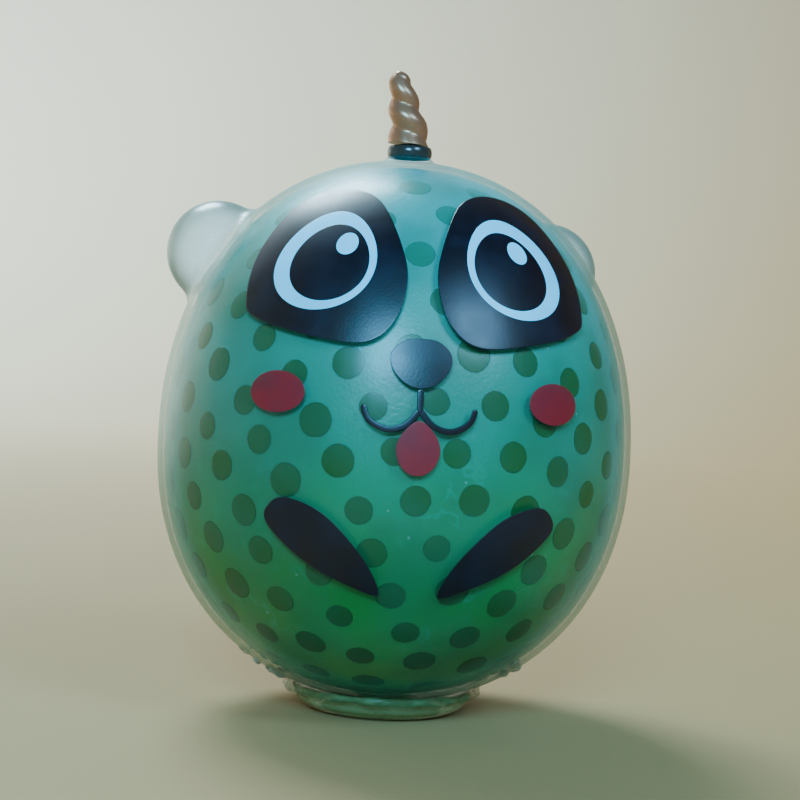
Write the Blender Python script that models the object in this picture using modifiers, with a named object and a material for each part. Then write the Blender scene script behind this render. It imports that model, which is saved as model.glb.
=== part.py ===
"""Animal squeeze ball: a clear soft skin over a dotted, gel-filled bladder.

The ball stands on its base pad, with +Z up and the printed face looking
along -Y. Left and right are the viewer's: left is -X. A place on the ball is
a bearing and a level. Bearings are degrees round it from the middle of the
face, growing towards +X. Levels are percent of the way from the equator up
to the crown, or below 0 of the way down to the foot.
"""
import math

import bmesh
import bpy

MM = 0.001

# --- Ball ---------------------------------------------------------------
BALL_RADIUS = 35.0 * MM
CROWN_RISE = 42.5 * MM          # equator up to the crown of the skin
BASE_DROP = 37.1 * MM           # equator down to the underside of the skin
ROUNDNESS = 2.15                # 2 is an ellipse, more is squarer
SKIN_WALL = 1.0 * MM
BLADDER_WALL = 1.0 * MM
CLEARANCE = 0.3 * MM            # between pieces that touch on the real ball

# --- Ears ---------------------------------------------------------------
EAR_RADIUS = 7.7 * MM
EAR_WALL = 1.6 * MM
EAR_LEVEL = 65.2                # where its middle sits on the skin
EAR_SPREAD = 109.0              # degrees from the middle of the head
EAR_TWIST = 12.0                # the print is turned this far from the moulded head

# --- Horn ---------------------------------------------------------------
BOSS_RADIUS = 3.6 * MM
BOSS_RISE = 0.9 * MM            # stands above the crown
COLLAR_RADIUS = 3.2 * MM
COLLAR_HEIGHT = 1.7 * MM        # at the middle of its domed top
HORN_RADIUS = 3.35 * MM
HORN_TIP_RADIUS = 1.5 * MM
HORN_LENGTH = 9.7 * MM
HORN_LEAN = 12.0                # degrees towards -X
HORN_BEND = 12.0                # degrees that it flexes each way at its foot
HORN_PITCH = 3.9 * MM           # rise of the moulded spiral in one turn
HORN_RIDGE = 0.4 * MM           # height of a ridge above its groove

# --- Base ---------------------------------------------------------------
PAD_THICKNESS = 1.5 * MM        # under the middle of the skin
PAD_RADIUS = 13.3 * MM
PAD_FOOT_RADIUS = 9.0 * MM      # flat ring that the ball stands on
PAD_RIM = 0.6 * MM
GLUE_RADIUS = 0.6 * MM
HOLE_RADIUS = 4.5 * MM          # filling hole in the skin
GROMMET_WALL = 1.2 * MM
NECK_WALL = 1.1 * MM

# --- Printed face -------------------------------------------------------
INK = 0.25 * MM
PRINT_GAP = 0.3 * MM            # between neighbouring colours
# Outlines are (bearing, level) points, for the right-hand side.
EYE_PATCH = [(13.5, 81.5), (30, 87.0), (47, 83.0), (51.5, 67.0), (48.5, 49.5),
             (43.5, 43.3), (26, 38.1), (12.5, 37.4), (5.6, 47.0), (4.6, 63.5)]
EYE_CENTRE = (27.6, 62.6)
EYE_SIZE = (15.0, 16.2)         # half width in degrees, half height in percent
PUPIL_CENTRE = (26.0, 61.9)
PUPIL_SIZE = (11.4, 12.5)
GLINT_SHIFT = (4.0, 6.1)        # from the pupil's middle, to the viewer's right on both eyes
GLINT_SIZE = (3.3, 3.6)
NOSE = [(0, 39.3), (6.2, 36.7), (7.2, 31.5), (3.6, 24.5), (0, 23.3)]
MOUTH = [(0, 22.1), (0, 16.9), (3.0, 12.2), (7.0, 10.6), (11.0, 13.2), (12.6, 17.9)]
MOUTH_WIDTH = 0.9 * MM
TONGUE = [(0, 11.8), (3.4, 8.5), (5.2, 5.0), (3.2, -0.5), (0, -3.5)]
CHEEK_CENTRE = (33.0, 20.2)
CHEEK_SIZE = (7.0, 6.6)
ARM = [(33.6, -17.8), (34.2, -24.8), (25.0, -37.7), (13.0, -46.4), (7.2, -48.0),
       (11.0, -35.0), (20.0, -19.9), (29.0, -14.6)]

# --- Mesh density -------------------------------------------------------
ROUND_SIDES = 32
PROFILE_ROWS = 20

EQUATOR_Z = PAD_THICKNESS + CLEARANCE + BASE_DROP
CROWN_Z = EQUATOR_Z + CROWN_RISE
SKIN_FOOT_Z = EQUATOR_Z - BASE_DROP
MERGE = 0.00001


# --- Setting up -----------------------------------------------------------
def clear_scene():
    for obj in list(bpy.data.objects):
        bpy.data.objects.remove(obj)


def new_collection(name):
    collection = bpy.data.collections.new(name)
    bpy.context.scene.collection.children.link(collection)
    return collection


def make_material(name, colour, roughness, metallic=0.0, alpha=1.0):
    material = bpy.data.materials.new(name)
    material.use_nodes = True
    shader = material.node_tree.nodes["Principled BSDF"]
    shader.inputs["Base Color"].default_value = (*colour, 1.0)
    shader.inputs["Roughness"].default_value = roughness
    shader.inputs["Metallic"].default_value = metallic
    shader.inputs["Alpha"].default_value = alpha
    return material


clear_scene()
BALL = new_collection("stress_ball")
CUTTERS = new_collection("cutters")

CLEAR_RUBBER = make_material("clear_rubber", (0.62, 0.78, 0.74), 0.15, alpha=0.35)
GREEN_RUBBER = make_material("green_rubber", (0.02, 0.25, 0.14), 0.3)
GEL = make_material("gel", (0.02, 0.32, 0.18), 0.1)
PLUG_RUBBER = make_material("plug_rubber", (0.5, 0.6, 0.52), 0.4)
CLEAR_GLUE = make_material("clear_glue", (0.7, 0.78, 0.74), 0.2, alpha=0.5)
HORN_GOLD = make_material("horn_gold", (0.36, 0.27, 0.13), 0.4, metallic=0.8)
COLLAR_DARK = make_material("collar_dark", (0.02, 0.05, 0.06), 0.1)
INK_BLACK = make_material("ink_black", (0.008, 0.014, 0.03), 0.35)
INK_PALE = make_material("ink_pale", (0.5, 0.72, 0.8), 0.35)
INK_RED = make_material("ink_red", (0.26, 0.02, 0.04), 0.35)


def add_object(name, mesh, material=None, collection=BALL):
    obj = bpy.data.objects.new(name, mesh)
    collection.objects.link(obj)
    if material:
        mesh.materials.clear()
        mesh.materials.append(material)
    return obj


def make_cutter(obj):
    for collection in list(obj.users_collection):
        collection.objects.unlink(obj)
    CUTTERS.objects.link(obj)
    obj.hide_render = True
    obj.display_type = 'WIRE'
    return obj


def smooth(obj, angle=40.0):
    obj.data.shade_smooth()
    obj.data.set_sharp_from_angle(angle=math.radians(angle))
    return obj


def combine(obj, operation, other):
    modifier = obj.modifiers.new(operation.lower() + "_" + other.name, 'BOOLEAN')
    modifier.operation = operation
    modifier.object = other
    return modifier


# --- The ball's form --------------------------------------------------------
def girth(height, offset=0.0):
    """Radius of the ball at a height above the equator, grown by offset."""
    reach = (CROWN_RISE if height > 0 else BASE_DROP) + offset
    rise = min(1.0, abs(height) / reach)
    return (BALL_RADIUS + offset) * (1.0 - rise ** ROUNDNESS) ** (1.0 / ROUNDNESS)


def ball_profile(offset=0.0):
    """Points (radius, z) down the ball's outline, from crown to foot."""
    power = 2.0 / ROUNDNESS
    points = []
    for row in range(PROFILE_ROWS + 1):
        turn = math.pi * (0.5 - row / PROFILE_ROWS)
        reach = (CROWN_RISE if turn > 0 else BASE_DROP) + offset
        rise = math.copysign(abs(math.sin(turn)) ** power, turn) * reach
        out = 0.0 if row in (0, PROFILE_ROWS) else math.cos(turn) ** power
        points.append((out * (BALL_RADIUS + offset), EQUATOR_Z + rise))
    return points


def turned(name, profile, material=None, sides=ROUND_SIDES):
    """A profile of (radius, z) points, run top to bottom, turned about Z."""
    mesh = bpy.data.meshes.new(name)
    edges = [(i, i + 1) for i in range(len(profile) - 1)]
    mesh.from_pydata([(r, 0.0, z) for r, z in profile], edges, [])
    obj = add_object(name, mesh, material)
    screw = obj.modifiers.new("turn", 'SCREW')
    screw.axis = 'Z'
    screw.steps = sides
    screw.render_steps = sides
    screw.use_merge_vertices = True
    screw.merge_threshold = MERGE
    screw.use_smooth_shade = True
    return obj


def turned_ring(name, profile, material=None, sides=ROUND_SIDES):
    """As turned, for a closed outline that doesn't reach the axis."""
    obj = turned(name, profile + profile[:1], material, sides)
    weld = obj.modifiers.new("close", 'WELD')
    weld.merge_threshold = MERGE
    return obj


def ball_form(name, offset):
    return turned(name, ball_profile(offset))


def sphere(name, radius, place, sides=24, rows=14):
    mesh = bpy.data.meshes.new(name)
    shape = bmesh.new()
    bmesh.ops.create_uvsphere(shape, u_segments=sides, v_segments=rows, radius=radius)
    shape.to_mesh(mesh)
    shape.free()
    obj = add_object(name, mesh)
    obj.location = place
    return obj


def cylinder(name, radius, low, high, material=None, sides=24, top_radius=None):
    mesh = bpy.data.meshes.new(name)
    shape = bmesh.new()
    bmesh.ops.create_cone(shape, cap_ends=True, segments=sides, radius1=radius,
                          radius2=top_radius or radius, depth=high - low)
    shape.to_mesh(mesh)
    shape.free()
    obj = add_object(name, mesh, material)
    obj.location = (0.0, 0.0, (low + high) / 2)
    return obj


def level_height(level):
    return level / 100.0 * (CROWN_RISE if level > 0 else BASE_DROP)


def on_ball(bearing, level, offset=0.0):
    turn = math.radians(bearing)
    height = level_height(level)
    out = girth(height, offset)
    return (out * math.sin(turn), -out * math.cos(turn), EQUATOR_Z + height)


# --- Skin, bladder and gel --------------------------------------------------
BLADDER_INSET = SKIN_WALL + CLEARANCE
GEL_INSET = BLADDER_INSET + BLADDER_WALL + CLEARANCE
GROMMET_RADIUS = HOLE_RADIUS - CLEARANCE
NECK_RADIUS = GROMMET_RADIUS - GROMMET_WALL - CLEARANCE
NECK_BORE = NECK_RADIUS - NECK_WALL
NECK_FOOT_Z = SKIN_FOOT_Z + CLEARANCE


def build_skin():
    skin = ball_form("outer_skin", 0.0)
    skin.data.materials.append(CLEAR_RUBBER)
    hollow = make_cutter(ball_form("skin_hollow", -SKIN_WALL))
    for side, name in ((-1, "left"), (1, "right")):
        place = on_ball(side * EAR_SPREAD + EAR_TWIST, EAR_LEVEL)
        dome = make_cutter(sphere("ear_dome_" + name, EAR_RADIUS, place))
        inside = make_cutter(sphere("ear_hollow_" + name, EAR_RADIUS - EAR_WALL, place, 20, 12))
        combine(skin, 'UNION', dome)
        combine(hollow, 'UNION', inside)
    boss_foot = CROWN_Z - SKIN_WALL / 2
    boss = make_cutter(cylinder("horn_boss", BOSS_RADIUS, boss_foot, CROWN_Z + BOSS_RISE))
    hole = make_cutter(cylinder("filling_hole", HOLE_RADIUS, SKIN_FOOT_Z - SKIN_WALL,
                                SKIN_FOOT_Z + 2 * SKIN_WALL))
    combine(skin, 'UNION', boss)
    combine(skin, 'DIFFERENCE', hollow)
    combine(skin, 'DIFFERENCE', hole)


def build_bladder():
    bladder = ball_form("inner_bladder", -BLADDER_INSET)
    bladder.data.materials.append(GREEN_RUBBER)
    hollow = make_cutter(ball_form("bladder_hollow", -BLADDER_INSET - BLADDER_WALL))
    wall_z = SKIN_FOOT_Z + BLADDER_INSET + BLADDER_WALL / 2
    bore_top = SKIN_FOOT_Z + GEL_INSET + BLADDER_WALL
    neck = make_cutter(cylinder("neck_tube", NECK_RADIUS, NECK_FOOT_Z, wall_z))
    bore = make_cutter(cylinder("neck_bore", NECK_BORE, NECK_FOOT_Z - NECK_WALL, bore_top))
    combine(bladder, 'UNION', neck)
    combine(bladder, 'DIFFERENCE', hollow)
    combine(bladder, 'DIFFERENCE', bore)


def build_gel():
    gel = ball_form("gel_fill", -GEL_INSET)
    gel.data.materials.append(GEL)


# --- Base -------------------------------------------------------------------
def underside_z(radius):
    """Height of the skin's underside at a distance from the axis."""
    share = (radius / BALL_RADIUS) ** ROUNDNESS
    return EQUATOR_Z - BASE_DROP * (1.0 - share) ** (1.0 / ROUNDNESS)


def build_pad():
    """A shallow clear dish that fits the underside and stands flat."""
    steps = 6
    top = [(PAD_RADIUS * i / steps, underside_z(PAD_RADIUS * i / steps) - CLEARANCE)
           for i in range(steps + 1)]
    rim_z = top[-1][1] - PAD_RIM
    side = []
    for i in range(steps + 1):
        turn = math.pi / 2 * i / steps
        out = PAD_FOOT_RADIUS + (PAD_RADIUS - PAD_FOOT_RADIUS) * math.cos(turn)
        side.append((out, rim_z * (1.0 - math.sin(turn))))
    turned("base_pad", top + side + [(0.0, 0.0)], CLEAR_RUBBER)


def build_glue():
    """The bead squeezed out between the pad's rim and the skin."""
    ring = PAD_RADIUS + CLEARANCE + GLUE_RADIUS
    middle = underside_z(ring) - CLEARANCE - 1.15 * GLUE_RADIUS
    sides = 6
    outline = [(ring + GLUE_RADIUS * math.sin(math.tau * i / sides),
                middle + GLUE_RADIUS * math.cos(math.tau * i / sides)) for i in range(sides)]
    turned_ring("glue_ring", outline, CLEAR_GLUE)


def build_closure():
    """The grommet in the skin's filling hole and the stopper in the neck."""
    low = SKIN_FOOT_Z + CLEARANCE
    grommet_top = SKIN_FOOT_Z + SKIN_WALL
    inner = NECK_RADIUS + CLEARANCE
    outline = [(inner, grommet_top), (GROMMET_RADIUS, grommet_top),
               (GROMMET_RADIUS, low), (inner, low)]
    turned_ring("neck_grommet", outline, PLUG_RUBBER, 24)
    stopper_top = SKIN_FOOT_Z + BLADDER_INSET + BLADDER_WALL
    cylinder("fill_stopper", NECK_BORE - CLEARANCE, low, stopper_top, PLUG_RUBBER)


# --- Horn -------------------------------------------------------------------
COLLAR_FOOT_Z = CROWN_Z + BOSS_RISE + CLEARANCE
HORN_FOOT_Z = COLLAR_FOOT_Z + COLLAR_HEIGHT + CLEARANCE


def build_collar():
    """A bulging band whose domed top leaves the horn room to bend."""
    bulge = 0.25 * MM
    rows = 5
    fall = COLLAR_RADIUS * math.tan(math.radians(HORN_BEND))
    side_height = COLLAR_HEIGHT - fall
    profile = [(0.0, COLLAR_FOOT_Z + COLLAR_HEIGHT)]
    for i in range(rows + 1):
        share = i / rows
        out = COLLAR_RADIUS - bulge * (1.0 - math.sin(math.pi * share))
        profile.append((out, COLLAR_FOOT_Z + side_height * (1.0 - share)))
    profile.append((0.0, COLLAR_FOOT_Z))
    turned("horn_collar", profile, COLLAR_DARK, 24)


def build_horn():
    """A tapered horn with a spiral ridge, as a loft of rings that turn.

    Its origin is the middle of its foot, on the axis that it bends about.
    """
    sides = 20
    rows = 24
    shape = bmesh.new()
    rings = []
    for row in range(rows + 1):
        share = row / rows
        taper = HORN_RADIUS + (HORN_TIP_RADIUS - HORN_RADIUS) * share ** 1.15
        ridge = HORN_RIDGE * (1.0 - 0.5 * share)
        ring = []
        for side in range(sides):
            turn = math.tau * side / sides
            climb = HORN_LENGTH * share / HORN_PITCH + side / sides
            out = taper - ridge * (1.0 - abs(math.sin(math.pi * climb)))
            ring.append(shape.verts.new((out * math.cos(turn), out * math.sin(turn),
                                         HORN_LENGTH * share)))
        rings.append(ring)
    for lower, upper in zip(rings, rings[1:]):
        for side in range(sides):
            nxt = (side + 1) % sides
            shape.faces.new((lower[side], lower[nxt], upper[nxt], upper[side]))
    shape.faces.new(list(reversed(rings[0])))
    tip = shape.verts.new((0.0, 0.0, HORN_LENGTH + HORN_TIP_RADIUS * 0.45))
    for side in range(sides):
        shape.faces.new((rings[-1][side], rings[-1][(side + 1) % sides], tip))
    mesh = bpy.data.meshes.new("horn")
    shape.to_mesh(mesh)
    shape.free()
    horn = smooth(add_object("horn", mesh, HORN_GOLD))
    horn.location = (0.0, 0.0, HORN_FOOT_Z)
    horn.rotation_euler = (0.0, -math.radians(HORN_LEAN), 0.0)
    # The leaning foot is trimmed level, clear of the collar.
    reach = 2 * HORN_RADIUS
    level = make_cutter(cylinder("horn_foot_trim", reach, HORN_FOOT_Z - reach, HORN_FOOT_Z))
    combine(horn, 'DIFFERENCE', level)


# --- Printed face -----------------------------------------------------------
def front_view(bearing, level):
    """A place on the ball, as seen square on from the front: (x, z)."""
    place = on_ball(bearing, level)
    return (place[0], place[2])


def oval(centre, size, grow=0.0, points=24):
    """An oval outline on the ball, grown by a distance in metres."""
    wide = size[0] + math.degrees(grow / girth(level_height(centre[1])))
    tall = size[1] + grow / level_height(100.0) * 100.0
    outline = []
    for i in range(points):
        turn = math.tau * i / points
        outline.append((centre[0] + wide * math.cos(turn), centre[1] + tall * math.sin(turn)))
    return outline


def mirrored(outline):
    return [(-bearing, level) for bearing, level in reversed(outline)]


def both_halves(outline):
    """A closed outline from its right half, whose ends are on the middle line."""
    return outline + mirrored(outline[1:-1])


def stencil(name, outline, rounded):
    """A prism through the front of the ball, with the outline's shape."""
    curve = bpy.data.curves.new(name, 'CURVE')
    curve.dimensions = '2D'
    curve.fill_mode = 'BOTH'
    curve.extrude = BALL_RADIUS * 0.6
    curve.resolution_u = 5
    spline = curve.splines.new('BEZIER' if rounded else 'POLY')
    spline.use_cyclic_u = True
    if rounded:
        spline.bezier_points.add(len(outline) - 1)
        for point, (x, z) in zip(spline.bezier_points, outline):
            point.co = (x, z, 0.0)
            point.handle_left_type = 'AUTO'
            point.handle_right_type = 'AUTO'
    else:
        spline.points.add(len(outline) - 1)
        for point, (x, z) in zip(spline.points, outline):
            point.co = (x, z, 0.0, 1.0)
    prism = bpy.data.objects.new(name + "_curve", curve)
    CUTTERS.objects.link(prism)
    prism.rotation_euler = (math.pi / 2, 0.0, 0.0)
    prism.location = (0.0, -BALL_RADIUS, 0.0)
    bpy.context.view_layer.update()
    graph = bpy.context.evaluated_depsgraph_get()
    mesh = bpy.data.meshes.new_from_object(prism.evaluated_get(graph))
    mesh.transform(prism.matrix_world)
    bpy.data.objects.remove(prism)
    shape = bmesh.new()
    shape.from_mesh(mesh)
    bmesh.ops.remove_doubles(shape, verts=shape.verts, dist=MERGE)
    bmesh.ops.recalc_face_normals(shape, faces=shape.faces)
    shape.to_mesh(mesh)
    shape.free()
    return mesh


INK_OUTSIDE = make_cutter(ball_form("ink_outside", CLEARANCE + INK))
INK_INSIDE = make_cutter(ball_form("ink_inside", CLEARANCE))


def wrap(name, flat, material, rounded, holes=()):
    """A film of ink that wraps the ball inside a flat outline of (x, z) points."""
    film = add_object(name, stencil(name, flat, rounded), material)
    combine(film, 'INTERSECT', INK_OUTSIDE)
    combine(film, 'DIFFERENCE', INK_INSIDE)
    for index, hole in enumerate(holes):
        hole_name = f"{name}_hole_{index}"
        cutter = add_object(hole_name, stencil(hole_name, seen_flat(hole), False))
        combine(film, 'DIFFERENCE', make_cutter(cutter))
    return smooth(film)


def seen_flat(outline):
    return [front_view(bearing, level) for bearing, level in outline]


def print_film(name, outline, material, rounded=True, holes=()):
    """A film of ink inside an outline of places on the ball."""
    return wrap(name, seen_flat(outline), material, rounded, holes)


def line_sides(path, width):
    """The upper and lower edges of a line of even width along (x, z) points."""
    upper, lower = [], []
    for i, (x, z) in enumerate(path):
        before = path[max(i - 1, 0)]
        after = path[min(i + 1, len(path) - 1)]
        along_x, along_z = after[0] - before[0], after[1] - before[1]
        scale = width / 2 / math.hypot(along_x, along_z)
        upper.append((x - along_z * scale, z + along_x * scale))
        lower.append((x + along_z * scale, z - along_x * scale))
    return upper, lower


def build_eye(side, name):
    turn = (lambda outline: outline) if side > 0 else mirrored
    eye = oval(EYE_CENTRE, EYE_SIZE)
    pupil = oval(PUPIL_CENTRE, PUPIL_SIZE)
    glint_centre = (side * PUPIL_CENTRE[0] + GLINT_SHIFT[0], PUPIL_CENTRE[1] + GLINT_SHIFT[1])
    print_film("eye_patch_" + name, turn(EYE_PATCH), INK_BLACK,
               holes=[turn(oval(EYE_CENTRE, EYE_SIZE, PRINT_GAP))])
    print_film("eye_ring_" + name, turn(eye), INK_PALE, False,
               [turn(oval(PUPIL_CENTRE, PUPIL_SIZE, PRINT_GAP))])
    print_film("pupil_" + name, turn(pupil), INK_BLACK, False,
               [oval(glint_centre, GLINT_SIZE, PRINT_GAP, 12)])
    print_film("eye_glint_" + name, oval(glint_centre, GLINT_SIZE, points=12), INK_PALE, False)


def build_mouth():
    """Two curled lips that hang from one stem, drawn as a single line."""
    half = MOUTH_WIDTH / 2
    top, fork, *lip = seen_flat(MOUTH)
    upper, lower = line_sides([fork] + lip, MOUTH_WIDTH)
    right = [(half, top[1]), (half, fork[1])] + upper[1:] + lower[:0:-1]
    left = [(-x, z) for x, z in reversed(right)]
    wrap("mouth_line", right + [(0.0, fork[1] - MOUTH_WIDTH)] + left, INK_BLACK, False)


def build_face():
    for side, name in ((-1, "left"), (1, "right")):
        turn = (lambda outline: outline) if side > 0 else mirrored
        build_eye(side, name)
        print_film("cheek_" + name, turn(oval(CHEEK_CENTRE, CHEEK_SIZE)), INK_RED, False)
        print_film("arm_" + name, turn(ARM), INK_BLACK)
    print_film("nose", both_halves(NOSE), INK_BLACK)
    print_film("tongue", both_halves(TONGUE), INK_RED)
    build_mouth()


build_skin()
build_bladder()
build_gel()
build_pad()
build_glue()
build_closure()
build_collar()
build_horn()
build_face()
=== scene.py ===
# %% [markdown]
# # A see-through squeeze ball
#
# A squeeze ball of this kind is a balloon inside a balloon. The inner one, the
# bladder, is green, printed with darker dots and filled with gel. The outer one is a
# clear soft skin, moulded with two hollow ears, and it carries the printed face. A
# bronze horn stands on a dark collar on top, and a clear pad is glued underneath.
#
# The engineering model already holds every size and joint. This lesson dresses it:
# it loads that model as a fixed frame and puts a finely made piece where each plain
# one is.

import math

import bmesh
import bpy
import numpy as np
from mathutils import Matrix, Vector


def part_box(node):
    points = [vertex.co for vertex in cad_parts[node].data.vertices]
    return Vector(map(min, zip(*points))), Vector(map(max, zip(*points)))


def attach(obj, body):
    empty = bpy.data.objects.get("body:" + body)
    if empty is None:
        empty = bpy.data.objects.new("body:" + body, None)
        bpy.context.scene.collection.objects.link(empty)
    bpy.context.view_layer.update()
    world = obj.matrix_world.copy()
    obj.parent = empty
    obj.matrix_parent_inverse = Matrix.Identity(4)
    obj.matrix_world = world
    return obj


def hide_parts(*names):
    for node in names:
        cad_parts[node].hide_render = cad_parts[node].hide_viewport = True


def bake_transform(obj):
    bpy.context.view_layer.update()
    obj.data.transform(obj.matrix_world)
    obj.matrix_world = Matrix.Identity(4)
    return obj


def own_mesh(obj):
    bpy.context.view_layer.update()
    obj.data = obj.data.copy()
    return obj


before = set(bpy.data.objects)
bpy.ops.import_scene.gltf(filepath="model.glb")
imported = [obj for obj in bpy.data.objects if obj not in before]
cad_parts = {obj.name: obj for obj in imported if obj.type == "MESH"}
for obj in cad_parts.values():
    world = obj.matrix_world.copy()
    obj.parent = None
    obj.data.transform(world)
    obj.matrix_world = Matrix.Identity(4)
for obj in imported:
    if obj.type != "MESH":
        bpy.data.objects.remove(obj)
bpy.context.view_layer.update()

# %% [markdown]
# ## The form of the ball
#
# The ball is an egg: round seen from above, taller above its widest level than below
# it, and a little squarer than an ellipse. One formula, the superellipse, says all of
# that, so every piece that follows the ball is made from the same few numbers. A place
# on the ball is a bearing (degrees round it from the middle of the face) and a level
# (percent of the way up from the equator, or down below 0), as a map has longitude and
# latitude.

# %% The form of the ball
MM = 0.001
BALL_RADIUS = 35.0 * MM
CROWN_RISE = 42.5 * MM
BASE_DROP = 37.1 * MM
ROUNDNESS = 2.15
SKIN_WALL = 1.0 * MM

gel_low, gel_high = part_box("gel_fill")
EQUATOR_Z = (gel_low.z + gel_high.z - CROWN_RISE + BASE_DROP) / 2
CROWN_Z = EQUATOR_Z + CROWN_RISE
FOOT_Z = EQUATOR_Z - BASE_DROP
CENTRE = np.array((0.0, 0.0, EQUATOR_Z))


def girth(height, offset=0.0):
    """Radius of the ball at heights above the equator, grown by an offset."""
    height = np.asarray(height, float)
    reach = np.where(height > 0, CROWN_RISE, BASE_DROP) + offset
    rise = np.minimum(1.0, np.abs(height) / reach)
    return (BALL_RADIUS + offset) * (1.0 - rise ** ROUNDNESS) ** (1.0 / ROUNDNESS)


def ball_slope(points, offset=0.0):
    """The egg's size at each point, 1 being its surface, and how fast that grows outwards."""
    out = np.hypot(points[:, 0], points[:, 1])
    height = points[:, 2] - EQUATOR_Z
    reach = np.where(height > 0, CROWN_RISE, BASE_DROP) + offset
    across = (out / (BALL_RADIUS + offset)) ** ROUNDNESS
    size = (across + (np.abs(height) / reach) ** ROUNDNESS) ** (1.0 / ROUNDNESS)
    size = np.maximum(size, 1e-6)
    power = ROUNDNESS - 1.0
    grow_out = out ** power / (BALL_RADIUS + offset) ** ROUNDNESS / size ** power
    grow_up = np.sign(height) * np.abs(height) ** power / reach ** ROUNDNESS / size ** power
    return size, out, grow_out, grow_up


def ball_distance(points, offset=0.0):
    """How far points lie outside the egg, near its surface."""
    size, _, grow_out, grow_up = ball_slope(points, offset)
    return (size - 1.0) / np.maximum(np.hypot(grow_out, grow_up), 1.0)


def ball_normals(points):
    _, out, grow_out, grow_up = ball_slope(points)
    flat = points[:, :2] / np.maximum(out, 1e-9)[:, None] * grow_out[:, None]
    normals = np.column_stack((flat, grow_up))
    return normals / np.linalg.norm(normals, axis=1)[:, None]


def on_ball(bearings, levels, lift=0.0):
    """Points over the skin at bearings and levels, lifted straight off it."""
    turn = np.radians(np.asarray(bearings, float))
    levels = np.asarray(levels, float)
    height = levels / 100.0 * np.where(levels > 0, CROWN_RISE, BASE_DROP)
    out = girth(height)
    points = np.column_stack((out * np.sin(turn), -out * np.cos(turn), EQUATOR_Z + height))
    return points + ball_normals(points) * lift


print(f"equator at {EQUATOR_Z / MM:.1f} mm, crown at {CROWN_Z / MM:.1f} mm")

# %% [markdown]
# ## From points to a mesh
#
# Most pieces here are either *turned*, like a pot on a wheel, or *sheets* laid out as a
# grid of points. Blender could turn a profile with its Screw modifier.

# %% From points to a mesh
def add_mesh(name, points, faces):
    mesh = bpy.data.meshes.new(name)
    mesh.from_pydata([tuple(p) for p in points], [], faces)
    mesh.update()
    mesh.shade_smooth()
    piece = bpy.data.objects.new(name, mesh)
    bpy.context.scene.collection.objects.link(piece)
    return piece


def shell(name, start, rings, end=None):
    """A mesh through rings of points, closed by a middle point at its start and its end."""
    count = len(rings[0])
    faces = []
    for side in range(count):
        following = (side + 1) % count
        faces.append((0, 1 + side, 1 + following))
        for upper in range(1, 1 + (len(rings) - 1) * count, count):
            lower = upper + count
            faces.append((upper + side, lower + side, lower + following, upper + following))
        if end is not None:
            foot = 1 + (len(rings) - 1) * count
            faces.append((foot + side, foot + count, foot + following))
    return add_mesh(name, np.vstack([[start], *rings] + ([] if end is None else [[end]])), faces)


def circle(radius, z, sides):
    angles = np.arange(sides) * math.tau / sides
    return [(radius * math.cos(a), radius * math.sin(a), z) for a in angles]


def settle(piece):
    """Replaces a piece's modifiers by the mesh they make."""
    graph = bpy.context.evaluated_depsgraph_get()
    mesh = bpy.data.meshes.new_from_object(piece.evaluated_get(graph))
    piece.modifiers.clear()
    piece.data = mesh
    mesh.shade_smooth()
    return piece


def turned(name, profile, sides=96, closed=True):
    """A solid turned about Z from (radius, z) points, from the axis and back to it."""
    rings = [circle(radius, z, sides) for radius, z in (profile[1:-1] if closed else profile[1:])]
    return shell(name, (0.0, 0.0, profile[0][1]), rings, (0.0, 0.0, profile[-1][1]) if closed else None)


# %% [markdown]
# ## Writing finishes as sums
#
# A finish in Blender is a tree of nodes. Wiring it by hand in Python is long, so a
# small class stands for one output of a node and can be added, multiplied and so on
# like a number: each sum adds its Math node. Everything else comes from one method,
# `node`, that takes the node's type, its settings and what goes into its sockets. The
# same two classes serve materials and Geometry Nodes.

# %% Writing finishes as sums
def sums(operation):
    """The two methods that turn one kind of sum into a Math node, plain and reflected."""
    def plain(self, value):
        return self.tree.node("ShaderNodeMath", {"operation": operation}, {0: self, 1: value})

    def reflected(self, value):
        return self.tree.node("ShaderNodeMath", {"operation": operation}, {0: value, 1: self})

    return plain, reflected


class Wire:
    """One output of a node, which works in sums like a number."""

    __add__, __radd__ = sums("ADD")
    __sub__, __rsub__ = sums("SUBTRACT")
    __mul__, __rmul__ = sums("MULTIPLY")
    __truediv__, __rtruediv__ = sums("DIVIDE")
    __pow__ = sums("POWER")[0]

    def __init__(self, tree, socket):
        self.tree = tree
        self.socket = socket

    def other(self, name):
        """Another output of the same node."""
        return Wire(self.tree, self.socket.node.outputs[name])


class Tree:
    """A node tree that is filled from Python."""

    def __init__(self, tree):
        self.tree = tree

    def node(self, kind, settings=None, sockets=None, out=0):
        made = self.tree.nodes.new(kind)
        for name, value in (settings or {}).items():
            setattr(made, name, value)
        for name, value in (sockets or {}).items():
            if isinstance(value, Wire):
                self.tree.links.new(value.socket, made.inputs[name])
            else:
                made.inputs[name].default_value = value
        return Wire(self, made.outputs[out]) if made.outputs else made

    def maths(self, operation, first, second=0.0):
        return self.node("ShaderNodeMath", {"operation": operation}, {0: first, 1: second})

    def split(self, vector):
        """A vector's X, Y and Z."""
        parts = self.node("ShaderNodeSeparateXYZ", None, {0: vector})
        return parts, parts.other("Y"), parts.other("Z")

    def step(self, value, start, end, low=0.0, high=1.0):
        """Eases from low to high as a value goes from start to end."""
        return self.node("ShaderNodeMapRange", {"interpolation_type": "SMOOTHSTEP"},
                         {"Value": value, "From Min": start, "From Max": end,
                          "To Min": low, "To Max": high})


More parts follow.
